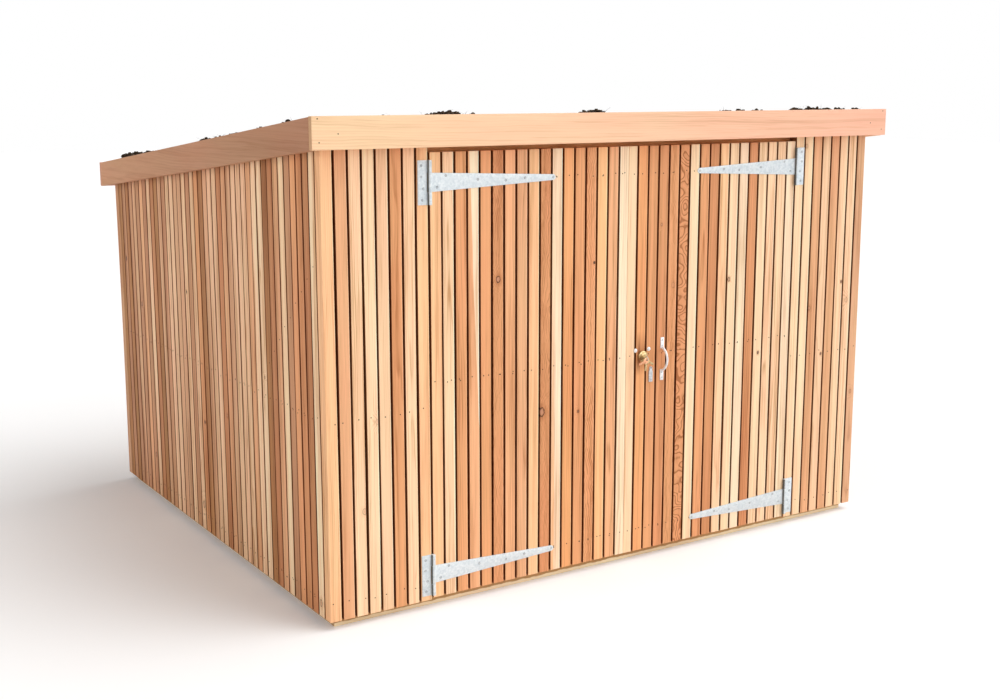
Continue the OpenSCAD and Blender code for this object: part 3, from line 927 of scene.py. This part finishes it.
def copies(name, shape, frames, finish, body):
    """One mesh with a copy of the shape at each frame."""
    corners = np.array([(*place, 1.0) for place in shape[0]])
    places, faces = [], []
    for one in frames:
        append_shape(places, faces, (corners @ np.array(one).T)[:, :3].tolist(), shape[1])
    piece = mesh_piece(name, places, faces, [True] * len(faces), finish)
    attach(piece, body)
    print(name, "copies:", len(frames), "faces:", len(faces))
    return piece


def brad_finish():
    steel = Finish("brad_steel")
    shade = steel.noise(steel.place(), (900.0, 900.0, 900.0))
    colour = steel.ramp(shade, (0.3, (0.012, 0.007, 0.004, 1.0)), (0.7, (0.040, 0.026, 0.016, 1.0)))
    steel.set("Base Color", colour)
    steel.set("Roughness", 0.75)
    steel.set("Specular IOR Level", 0.15)
    return steel.material


brad_steel = brad_finish()
print("made", brad_steel.name)

# %% Places for brads
FORWARD = (0, -1, 0)
SINK = 0.0001
BRAD_MARGIN = 0.2
RAIL_HALF = 0.035
ROW_DROP = 0.03


def middle_height(low, high):
    return (low.z + high.z) / 2


HINGE_HIGH = middle_height(*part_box("left_upper_flap"))
HINGE_LOW = middle_height(*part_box("left_lower_flap"))
brace_low, brace_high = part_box("left_wall_brace")
WALL_LEVELS = [HINGE_LOW - ROW_DROP, brace_low.z - RAIL_HALF]
DOOR_LEVELS = [HINGE_LOW, (HINGE_HIGH + HINGE_LOW) / 2, HINGE_HIGH]


def brad_frames(node, across, outward, levels, most, spread):
    """Places for brads on the outer face of each board of a node, round the given levels."""
    frames = []
    through = 3 - Z - across
    for low, high in faces_of[node]:
        for level in levels:
            for _ in range(chance.randint(1, most)):
                place = Vector((0, 0, 0))
                share = chance.uniform(BRAD_MARGIN, 1 - BRAD_MARGIN)
                place[across] = low[across] + (high - low)[across] * share
                place[through] = (high if outward > 0 else low)[through] - outward * SINK
                place.z = level + chance.uniform(-spread, spread)
                normal = Vector((0, 0, 0))
                normal[through] = outward
                frames.append(standing(place, normal))
    return frames


print("brad rows at", [round(level, 3) for level in WALL_LEVELS + DOOR_LEVELS])

# %% Brads
BRAD_R = 0.0021
BRAD_H = 0.0006
BRAD_SIDES = 8
# For each wall: the axis across its boards, the way out, the most brads to a level and their scatter
WALL_BRADS = {
    "front_left_battens": (X, -1, 1, 0.006), "front_right_battens": (X, -1, 1, 0.006),
    "left_wall_battens": (Y, -1, 2, 0.007), "right_wall_battens": (Y, 1, 2, 0.007),
    "back_wall_battens": (X, 1, 2, 0.007),
}
DOOR_BRADS = (X, -1, 2, 0.004)
BRACE_ENDS = (0.05, 0.09)
BRACE_DROP = 0.05
BRACE_SCATTER = 0.005
# Brads in the front fascia: distance from its end and from its top edge
FASCIA_BRADS = [(0.018, 0.007), (0.080, 0.049), (0.022, 0.072)]
BRAD = dome(BRAD_R, BRAD_H, BRAD_SIDES)
fixed = []
for node, (across, outward, most, spread) in WALL_BRADS.items():
    fixed += brad_frames(node, across, outward, WALL_LEVELS, most, spread)
for low, high in faces_of["left_wall_battens"]:
    middle = (low[Y] + high[Y]) / 2
    if brace_low.y - BRACE_ENDS[0] < middle < brace_high.y - BRACE_ENDS[1]:
        height = brace_high.z + brace_low.y - middle - BRACE_DROP
        height += chance.uniform(-BRACE_SCATTER, BRACE_SCATTER)
        for side in (-1, 1):
            fixed.append(standing((side * (abs(low[X]) - SINK), middle, height), (side, 0, 0)))
fascia_low, fascia_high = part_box("front_fascia")
for inset, drop in FASCIA_BRADS:
    for side in (-1, 1):
        spot = (side * (fascia_high.x - inset), fascia_low.y + SINK, fascia_high.z - drop)
        fixed.append(standing(spot, FORWARD))
copies("wall_brads", BRAD, fixed, brad_steel, "shelter")
for body in ("left_door", "right_door"):
    across, outward, most, spread = DOOR_BRADS
    heads = brad_frames(body + "_battens", across, outward, DOOR_LEVELS, most, spread)
    copies(body + "_brads", BRAD, heads, brad_steel, body)

# %% [markdown]
# ## Growing medium on the roof
# The tray is filled with crumbly growing medium that has settled below the boards and heaps up
# here and there above them. One displaced grid gives the bed. Its colour is mixed from fine grit,
# clods and drier patches. Crumbs and dry fibres lie on it as copies of small shapes, thicker where
# the heaps are, so that the roof line has the ragged dark bits that show over the fascia.

# %% Bed of the tray
BED_STEP = 0.014
BED_INSET = 0.0008
BED_BUMP = 0.006
LUMPS_A_METRE = 9
bed_low, bed_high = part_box("growing_medium")
bed_corners = np.array([vert.co for vert in frame["nodes"]["growing_medium"].data.vertices])
at_back = bed_corners[bed_corners[:, 1] > bed_high.y - WELD]
BED_BACK_Z = at_back[:, 2].max()
BED_FRONT_Z = bed_high.z
# Heaps by the front board and the left board: place along the board, size across and rise
FRONT_HEAPS = [(-0.885, 0.05, 0.008), (-0.71, 0.06, 0.012), (-0.66, 0.05, 0.011), (-0.59, 0.03, 0.009),
               (-0.18, 0.05, 0.013), (-0.13, 0.04, 0.012), (0.40, 0.04, 0.010), (0.47, 0.03, 0.010),
               (0.55, 0.04, 0.010), (0.73, 0.04, 0.011), (0.80, 0.05, 0.013), (0.87, 0.04, 0.011),
               (0.95, 0.05, 0.010), (1.03, 0.04, 0.009)]
SIDE_HEAPS = [(0.78, 0.07, 0.020), (0.70, 0.08, 0.022), (0.60, 0.06, 0.016), (0.48, 0.04, 0.012),
              (-0.06, 0.04, 0.011), (-0.17, 0.04, 0.011), (-0.25, 0.03, 0.009), (-0.32, 0.04, 0.010),
              (-0.52, 0.03, 0.010), (-0.74, 0.03, 0.009), (-0.86, 0.03, 0.009)]
HEAP_INSET = 0.03
HEAP_FALL = 2.5
HEAP_EDGE = 4
LOW_HEAPS = 26
heaps = [(place, bed_low.y + HEAP_INSET, size, rise) for place, size, rise in FRONT_HEAPS]
heaps += [(bed_low.x + HEAP_INSET, place, size, rise) for place, size, rise in SIDE_HEAPS]
for _ in range(LOW_HEAPS):
    x, y = chance.uniform(-1, 1), chance.uniform(-0.8, 0.9)
    heaps.append((x, y, chance.uniform(0.08, 0.25), chance.uniform(0.004, 0.012)))


def bed_height(x, y):
    share = (y - bed_low.y) / (bed_high.y - bed_low.y)
    height = BED_FRONT_Z + (BED_BACK_Z - BED_FRONT_Z) * share
    height += BED_BUMP * noise.fractal(Vector((x * LUMPS_A_METRE, y * LUMPS_A_METRE, 3)), 1.0, 2.0, 4)
    for heap_x, heap_y, size, rise in heaps:
        away = ((x - heap_x) ** 2 + (y - heap_y) ** 2) / size ** 2
        if away < HEAP_EDGE:
            height += rise * math.exp(-HEAP_FALL * away)
    return height


MOIST = (0.008, 0.005, 0.003, 1.0)
EARTH = (0.040, 0.025, 0.016, 1.0)
DUSTY = (0.15, 0.10, 0.06, 1.0)
DRY = (0.12, 0.085, 0.05, 1.0)


def medium_finish():
    soil = Finish("crumbly_medium")
    place = soil.place()
    grit = soil.noise(place, (260.0, 260.0, 260.0), detail=4.0)
    clod = soil.noise(place, (75.0, 75.0, 75.0), detail=5.0)
    patch = soil.noise(place, (9.0, 9.0, 9.0), detail=5.0)
    crumble = soil.plus(soil.times(grit, 0.45), soil.times(clod, 0.55))
    colour = soil.ramp(crumble, (0.36, MOIST), (0.50, EARTH), (0.66, DUSTY))
    dry = soil.mix(soil.span(patch, 0.40, 0.75), colour, soil.mix(0.22, colour, DRY))
    soil.set("Base Color", dry)
    soil.set("Roughness", soil.span(grit, 0.2, 0.8, 0.85, 1.0))
    soil.set("Specular IOR Level", 0.15)
    soil.bump(crumble, 0.007, 0.9)
    return soil.material


def growing_bed(finish):
    columns = int((bed_high.x - bed_low.x) / BED_STEP)
    rows = int((bed_high.y - bed_low.y) / BED_STEP)
    xs = np.linspace(bed_low.x + BED_INSET, bed_high.x - BED_INSET, columns + 1)
    ys = np.linspace(bed_low.y + BED_INSET, bed_high.y - BED_INSET, rows + 1)
    places = [(x, y, bed_height(x, y)) for y in ys for x in xs]
    wide = columns + 1
    starts = [r * wide + c for r in range(rows) for c in range(columns)]
    faces = [[k, k + 1, k + wide + 1, k + wide] for k in starts]
    rim = list(range(wide)) + [r * wide + columns for r in range(1, rows + 1)]
    rim += [rows * wide + c for c in reversed(range(columns))]
    rim += [r * wide for r in reversed(range(1, rows))]
    first = len(places)
    fall = (BED_FRONT_Z - BED_BACK_Z) / (bed_high.y - bed_low.y)
    depth = BED_BACK_Z - bed_low.z
    for index in rim:
        x, y, _ = places[index]
        places.append((x, y, BED_FRONT_Z - fall * (y - bed_low.y) - depth + BED_INSET))
    count = len(rim)
    for k in range(count):
        after = (k + 1) % count
        faces.append([rim[after], rim[k], first + k, first + after])
    faces.append([first + k for k in reversed(range(count))])
    piece = mesh_piece("growing_medium_bed", places, faces, [True] * len(faces), finish)
    print(piece.name, "faces:", len(faces))
    return stands_for(piece, "growing_medium")


crumbly_medium = medium_finish()
growing_bed(crumbly_medium)

# %% Crumbs and fibres
CRUMBS = 4200
CRUMB_R = (0.0016, 0.0080)
CRUMB_LIFT = 0.25
CRUMB_KNOBS = (0.72, 1.2)
FIBRES = 520
FIBRE_L = (0.010, 0.034)
FIBRE_TILT = (0.3, 1.5)
FIBRE_LIFT = -0.08
# Of a fibre one unit long: half its width at the root, how much it tapers and how far it bends
FIBRE_R, FIBRE_TAPER, FIBRE_BEND = 0.02, 0.75, 0.35
HEAP_SHARE = 0.62
HEAP_SPREAD = (0.5, 0.3)
PILE = 0.007
TRAY_MARGIN = 0.012


def crumb():
    """A knobbly lump, from a coarse ball."""
    ball = bmesh.new()
    bmesh.ops.create_icosphere(ball, subdivisions=1, radius=1.0)
    lump = random.Random(4)
    for vert in ball.verts:
        vert.co *= lump.uniform(*CRUMB_KNOBS)
    return drawn(ball)


def fibre():
    """A bent, tapered strand, three-sided, along Z."""
    sides, rings = 3, 6
    places = []
    for ring in range(rings):
        up = ring / (rings - 1)
        thick = FIBRE_R * (1 - FIBRE_TAPER * up)
        lean = FIBRE_BEND * up * up
        for side in range(sides):
            turn = 2 * math.pi * side / sides
            places.append((lean + thick * math.cos(turn), thick * math.sin(turn), up))
    last = len(places)
    return places, band_faces(rings - 1, sides) + [[2, 1, 0], [last - 3, last - 2, last - 1]]


def tray_place():
    """A place in the tray, mostly on one of the heaps, and how high it is piled there."""
    piled = chance.random() < HEAP_SHARE
    if piled:
        heap_x, heap_y, size, _ = chance.choice(heaps[:len(FRONT_HEAPS) + len(SIDE_HEAPS)])
        x = heap_x + chance.gauss(0, size * HEAP_SPREAD[0])
        y = heap_y + chance.gauss(0, size * HEAP_SPREAD[1])
    else:
        x, y = chance.uniform(bed_low.x, bed_high.x), chance.uniform(bed_low.y, bed_high.y)
    x = min(max(x, bed_low.x + TRAY_MARGIN), bed_high.x - TRAY_MARGIN)
    y = min(max(y, bed_low.y + TRAY_MARGIN), bed_high.y - TRAY_MARGIN)
    return x, y, PILE * chance.random() ** 2 * piled


def scattered(count, sizes, tilt, lift):
    """Frames for loose bits; lift is the share of its size that a bit stands off the bed."""
    frames = []
    for _ in range(count):
        x, y, piled = tray_place()
        size = sizes[0] + (sizes[1] - sizes[0]) * chance.random() ** 2
        turn = Matrix.Rotation(chance.uniform(0, 2 * math.pi), 4, "Z")
        lay = Matrix.Rotation(chance.uniform(*tilt), 4, "Y")
        place = Vector((x, y, bed_height(x, y) + piled + lift * size))
        frames.append(Matrix.Translation(place) @ turn @ lay @ Matrix.Scale(size, 4))
    return frames


crumbs = scattered(CRUMBS, CRUMB_R, (0, math.pi), CRUMB_LIFT)
copies("medium_crumbs", crumb(), crumbs, crumbly_medium, "shelter")
fibres = scattered(FIBRES, FIBRE_L, FIBRE_TILT, FIBRE_LIFT)
copies("medium_fibres", fibre(), fibres, crumbly_medium, "shelter")

# %% [markdown]
# ## Galvanised hinges
# The tee hinges are plate steel, dipped in zinc: a pale blue-grey skin with a fine mottled spangle
# that is duller in some crystals than in others. The shapes in the frame are right, so each is
# copied with its edges slightly broken, as dipped plate is, and given the zinc finish. A Voronoi
# pattern makes the crystals.

# %% Metal copies
EDGE_BREAK = 0.0005
METAL_SHARP = math.radians(40)
# Painted shade beside the rolled knuckles of the hinges
KNUCKLE_SHADE = (0.16, 0.15, 0.14, 1.0)


def zinc_finish(name, pale, dark, spangle, metal):
    """Mottled zinc; spangle is how many crystals there are to a metre, and metal how bare it is."""
    zinc = Finish(name)
    place = zinc.place()
    crystal = zinc.add("TexVoronoi", {"Vector": place, "Scale": spangle}, 1)
    shade = zinc.part(crystal, 0)
    mottle = zinc.noise(place, (70.0, 70.0, 70.0), detail=6.0)
    depth = zinc.plus(zinc.times(shade, 0.40), zinc.times(mottle, 0.62))
    colour = zinc.ramp(depth, (0.24, dark), (0.80, pale))
    # Painted shade on the side of the knuckles away from the lamps
    knuckle_shade = zinc.attribute("knuckle_shade", 2)
    colour = zinc.mix(knuckle_shade, colour, zinc.shaded(colour, KNUCKLE_SHADE))
    zinc.set("Base Color", colour)
    zinc.set("Metallic", metal)
    zinc.set("Roughness", zinc.span(depth, 0.2, 0.9, 0.62, 0.42))
    zinc.bump(mottle, 0.0004, 0.25)
    return zinc.material


def metal(node, finishes, edge=EDGE_BREAK, choose=None, shaded_where=None):
    """A copy of a CAD node with its edges broken; choose picks a finish for each solid by its box."""
    places, faces, picks, knuckle_shade = [], [], [], []
    for solid in boards_of(node):
        pick = choose(*box_of(solid)) if choose else 0
        sharp = [e for e in solid.edges if e.is_manifold and e.calc_face_angle() > METAL_SHARP]
        rounded(solid, sharp, edge)
        solid.normal_update()
        # Marks the points that get painted shade
        knuckle_shade.extend(float(bool(shaded_where and shaded_where(vert))) for vert in solid.verts)
        picks.extend([pick] * len(solid.faces))
        append_shape(places, faces, *drawn(solid))
    piece = mesh_piece(node + "_metal", places, faces, [True] * len(faces), finishes[0])
    for finish in finishes[1:]:
        piece.data.materials.append(finish)
    piece.data.polygons.foreach_set("material_index", picks)
    piece.data.attributes.new("knuckle_shade", "FLOAT", "POINT").data.foreach_set("value", knuckle_shade)
    piece.data.set_sharp_from_angle(angle=METAL_SHARP)
    print(piece.name, "finishes:", len(finishes), "faces:", len(faces))
    return stands_for(piece, node)


PIN_X = abs(frame["joints"][0]["pos_m"][0])
KNUCKLE_REACH = 0.0072
dipped_zinc = zinc_finish("dipped_zinc", (0.76, 0.81, 0.83, 1), (0.58, 0.65, 0.69, 1), 190.0, 0.15)


def in_knuckle_joint(vert):
    """True on the shaded side of the rolled knuckles beside the plate, where shade is painted."""
    return abs(abs(vert.co.x) - PIN_X) < KNUCKLE_REACH and vert.normal.x < -FACING


for side in ("left", "right"):
    for level in ("upper", "lower"):
        metal(f"{side}_{level}_strap", [dipped_zinc], shaded_where=in_knuckle_joint)
        metal(f"{side}_{level}_flap", [dipped_zinc], shaded_where=in_knuckle_joint)

# %% [markdown]
# ## Hinge screws
# Each strap is held by six countersunk screws and each flap by four. A head is a low dome with a
# cross cut into it. It is drawn once, with the cross as a real recess, and copied to the places
# that one hinge has, mirrored for the other hand.

# %% Screw heads
SCREW_R = 0.0043
SCREW_H = 0.0010
SCREW_CROSS = 0.0026
SCREW_ARM = 0.0005
SCREW_CUT = 0.0012
SCREW_SIDES = 20
SCREW_TAPER = 0.86
PLATE_T = 0.003
# Distance from the pin along the strap, and height from the strap's middle
STRAP_SCREWS = [(0.027, -0.015), (0.057, 0.018), (0.168, 0.003), (0.268, -0.003), (0.338, 0.002),
                (0.443, 0.0)]
FLAP_SCREWS = [(-0.026, 0.050), (-0.027, 0.017), (-0.020, -0.018), (-0.024, -0.051)]


def cross_head():
    """A screw head with a cross recess."""
    head = bmesh.new()
    sides = SCREW_SIDES
    rim = []
    for radius, height in ((SCREW_R, 0.0), (SCREW_R * SCREW_TAPER, SCREW_H)):
        turns = [2 * math.pi * k / sides for k in range(sides)]
        rim.append([head.verts.new((radius * math.cos(t), radius * math.sin(t), height)) for t in turns])
    for k in range(sides):
        after = (k + 1) % sides
        head.faces.new([rim[0][k], rim[0][after], rim[1][after], rim[1][k]])
    head.faces.new(list(reversed(rim[0])))
    arm, reach = SCREW_ARM, SCREW_CROSS
    outline = [(arm, arm), (arm, reach), (-arm, reach), (-arm, arm), (-reach, arm), (-reach, -arm),
               (-arm, -arm), (-arm, -reach), (arm, -reach), (arm, -arm), (reach, -arm), (reach, arm)]
    top = [head.verts.new((x, y, SCREW_H)) for x, y in outline]
    deep = [head.verts.new((x, y, SCREW_H - SCREW_CUT)) for x, y in outline]
    edges = []
    for ring in (rim[1], top):
        for k, vert in enumerate(ring):
            pair = (vert, ring[(k + 1) % len(ring)])
            edges.append(head.edges.get(pair) or head.edges.new(pair))
    bmesh.ops.triangle_fill(head, edges=edges, use_beauty=True)
    for k in range(len(outline)):
        after = (k + 1) % len(outline)
        head.faces.new([top[k], top[after], deep[after], deep[k]])
    head.faces.new(deep)
    bmesh.ops.recalc_face_normals(head, faces=head.faces)
    return drawn(head)


def screw_frames(side, level, places):
    way = 1 if side == "left" else -1
    pin_x = -way * PIN_X
    height = HINGE_HIGH if level == "upper" else HINGE_LOW
    face_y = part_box("front_left_battens")[0].y - PLATE_T
    frames = []
    for along, up in places:
        head = standing((pin_x + way * along, face_y + SINK, height + up), FORWARD)
        frames.append(head @ Matrix.Rotation(chance.uniform(0, math.pi), 4, "Z"))
    return frames


SCREW = cross_head()
screw_zinc = zinc_finish("screw_zinc", (0.62, 0.65, 0.67, 1), (0.34, 0.37, 0.39, 1), 300.0, 0.4)
flap_screws = []
for side in ("left", "right"):
    strap_screws = []
    for level in ("upper", "lower"):
        strap_screws += screw_frames(side, level, STRAP_SCREWS)
        flap_screws += screw_frames(side, level, FLAP_SCREWS)
    copies(f"{side}_strap_screws", SCREW, strap_screws, screw_zinc, f"{side}_door")
copies("flap_screws", SCREW, flap_screws, screw_zinc, "shelter")

# %% [markdown]
# ## Lock, keys, bolts and latch plate
# The lock is a brass cylinder with a turned face ring. One key is in it, and three more hang from
# that key by a thin ring, one of them of coppery metal. Two bright domed bolt heads sit above it
# and a small zinc latch plate below. Brass is a plain metal colour with a browner bloom in patches.

# %% Lock and keys
def brass_finish(name, bright, dim):
    brass = Finish(name)
    place = brass.place()
    bloom = brass.noise(place, (160.0, 160.0, 160.0), detail=3.0)
    brushed = brass.noise(place, (2200.0, 2200.0, 300.0), detail=2.0)
    brass.set("Base Color", brass.ramp(bloom, (0.3, dim), (0.65, bright)))
    brass.set("Metallic", 0.9)
    brass.set("Roughness", brass.span(bloom, 0.25, 0.75, 0.46, 0.24))
    brass.bump(brushed, 0.0001, 0.2)
    return brass.material


def cast_finish():
    cast = Finish("dark_cast_metal")
    place = cast.place()
    grain = cast.noise(place, (700.0, 700.0, 700.0), detail=3.0)
    cast.set("Base Color", cast.ramp(grain, (0.3, grey(0.045)), (0.7, grey(0.11))))
    cast.set("Metallic", 0.6)
    cast.set("Roughness", cast.span(grain, 0.2, 0.8, 0.45, 0.65))
    cast.bump(grain, 0.0003, 0.4)
    return cast.material


lock_brass = brass_finish("lock_brass", (0.66, 0.50, 0.27, 1), (0.36, 0.25, 0.11, 1))
key_copper = brass_finish("key_copper", (0.84, 0.45, 0.27, 1), (0.62, 0.28, 0.15, 1))
bolt_white = zinc_finish("bolt_bright_zinc", (0.93, 0.93, 0.92, 1), (0.76, 0.76, 0.77, 1), 260.0, 0.15)
latch_zinc = zinc_finish("latch_zinc", (0.70, 0.72, 0.74, 1), (0.42, 0.44, 0.47, 1), 220.0, 0.4)
handle_steel = zinc_finish("handle_bright_steel", (0.93, 0.93, 0.93, 1), (0.70, 0.71, 0.73, 1), 200.0, 0.35)
dark_cast = cast_finish()
SMALL_EDGE = 0.0003
WIRE_WIDE = 0.004
COPPER_REACH = 0.02
lock_x = sum(corner.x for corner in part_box("lock_cylinder")) / 2


def key_metal(low, high):
    """0 brass, 1 copper for the key that points left, 2 steel for the thin ring."""
    if high[X] - low[X] < WIRE_WIDE:
        return 2
    return int(low[X] < lock_x - COPPER_REACH)


metal("lock_cylinder", [lock_brass], SMALL_EDGE)
metal("lock_bolts", [bolt_white], SMALL_EDGE)
metal("latch_plate", [latch_zinc], SMALL_EDGE)
metal("lock_case", [dark_cast], EDGE_BREAK)
metal("lock_keep", [dark_cast], EDGE_BREAK)
metal("pull_handle", [handle_steel], EDGE_BREAK)
metal("key_bunch", [lock_brass, key_copper, latch_zinc], SMALL_EDGE, key_metal)

# %% [markdown]
# ## Screws of the handle
# Each pad of the pull handle has two small round-headed screws. They are the same cross head as
# on the hinges, drawn smaller.

# %% Handle screws
PAD_SCREW_SCALE = 0.7
PAD_SCREW_ENDS = (0.009, 0.027)
handle_low, handle_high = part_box("pull_handle")
handle_x = (handle_low.x + handle_high.x) / 2
pad_frames = []
for inset in PAD_SCREW_ENDS:
    for height in (handle_low.z + inset, handle_high.z - inset):
        head = standing((handle_x, handle_high.y - PLATE_T + SINK, height), FORWARD)
        pad_frames.append(head @ Matrix.Scale(PAD_SCREW_SCALE, 4))
copies("handle_screws", SCREW, pad_frames, screw_zinc, "right_door")

# %% [markdown]
# ## Size
# Nothing that was added may make the shelter larger than its frame by more than a few millimetres,
# so the box round all the pieces that are shown is measured.

# %% Measure the size
low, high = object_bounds()
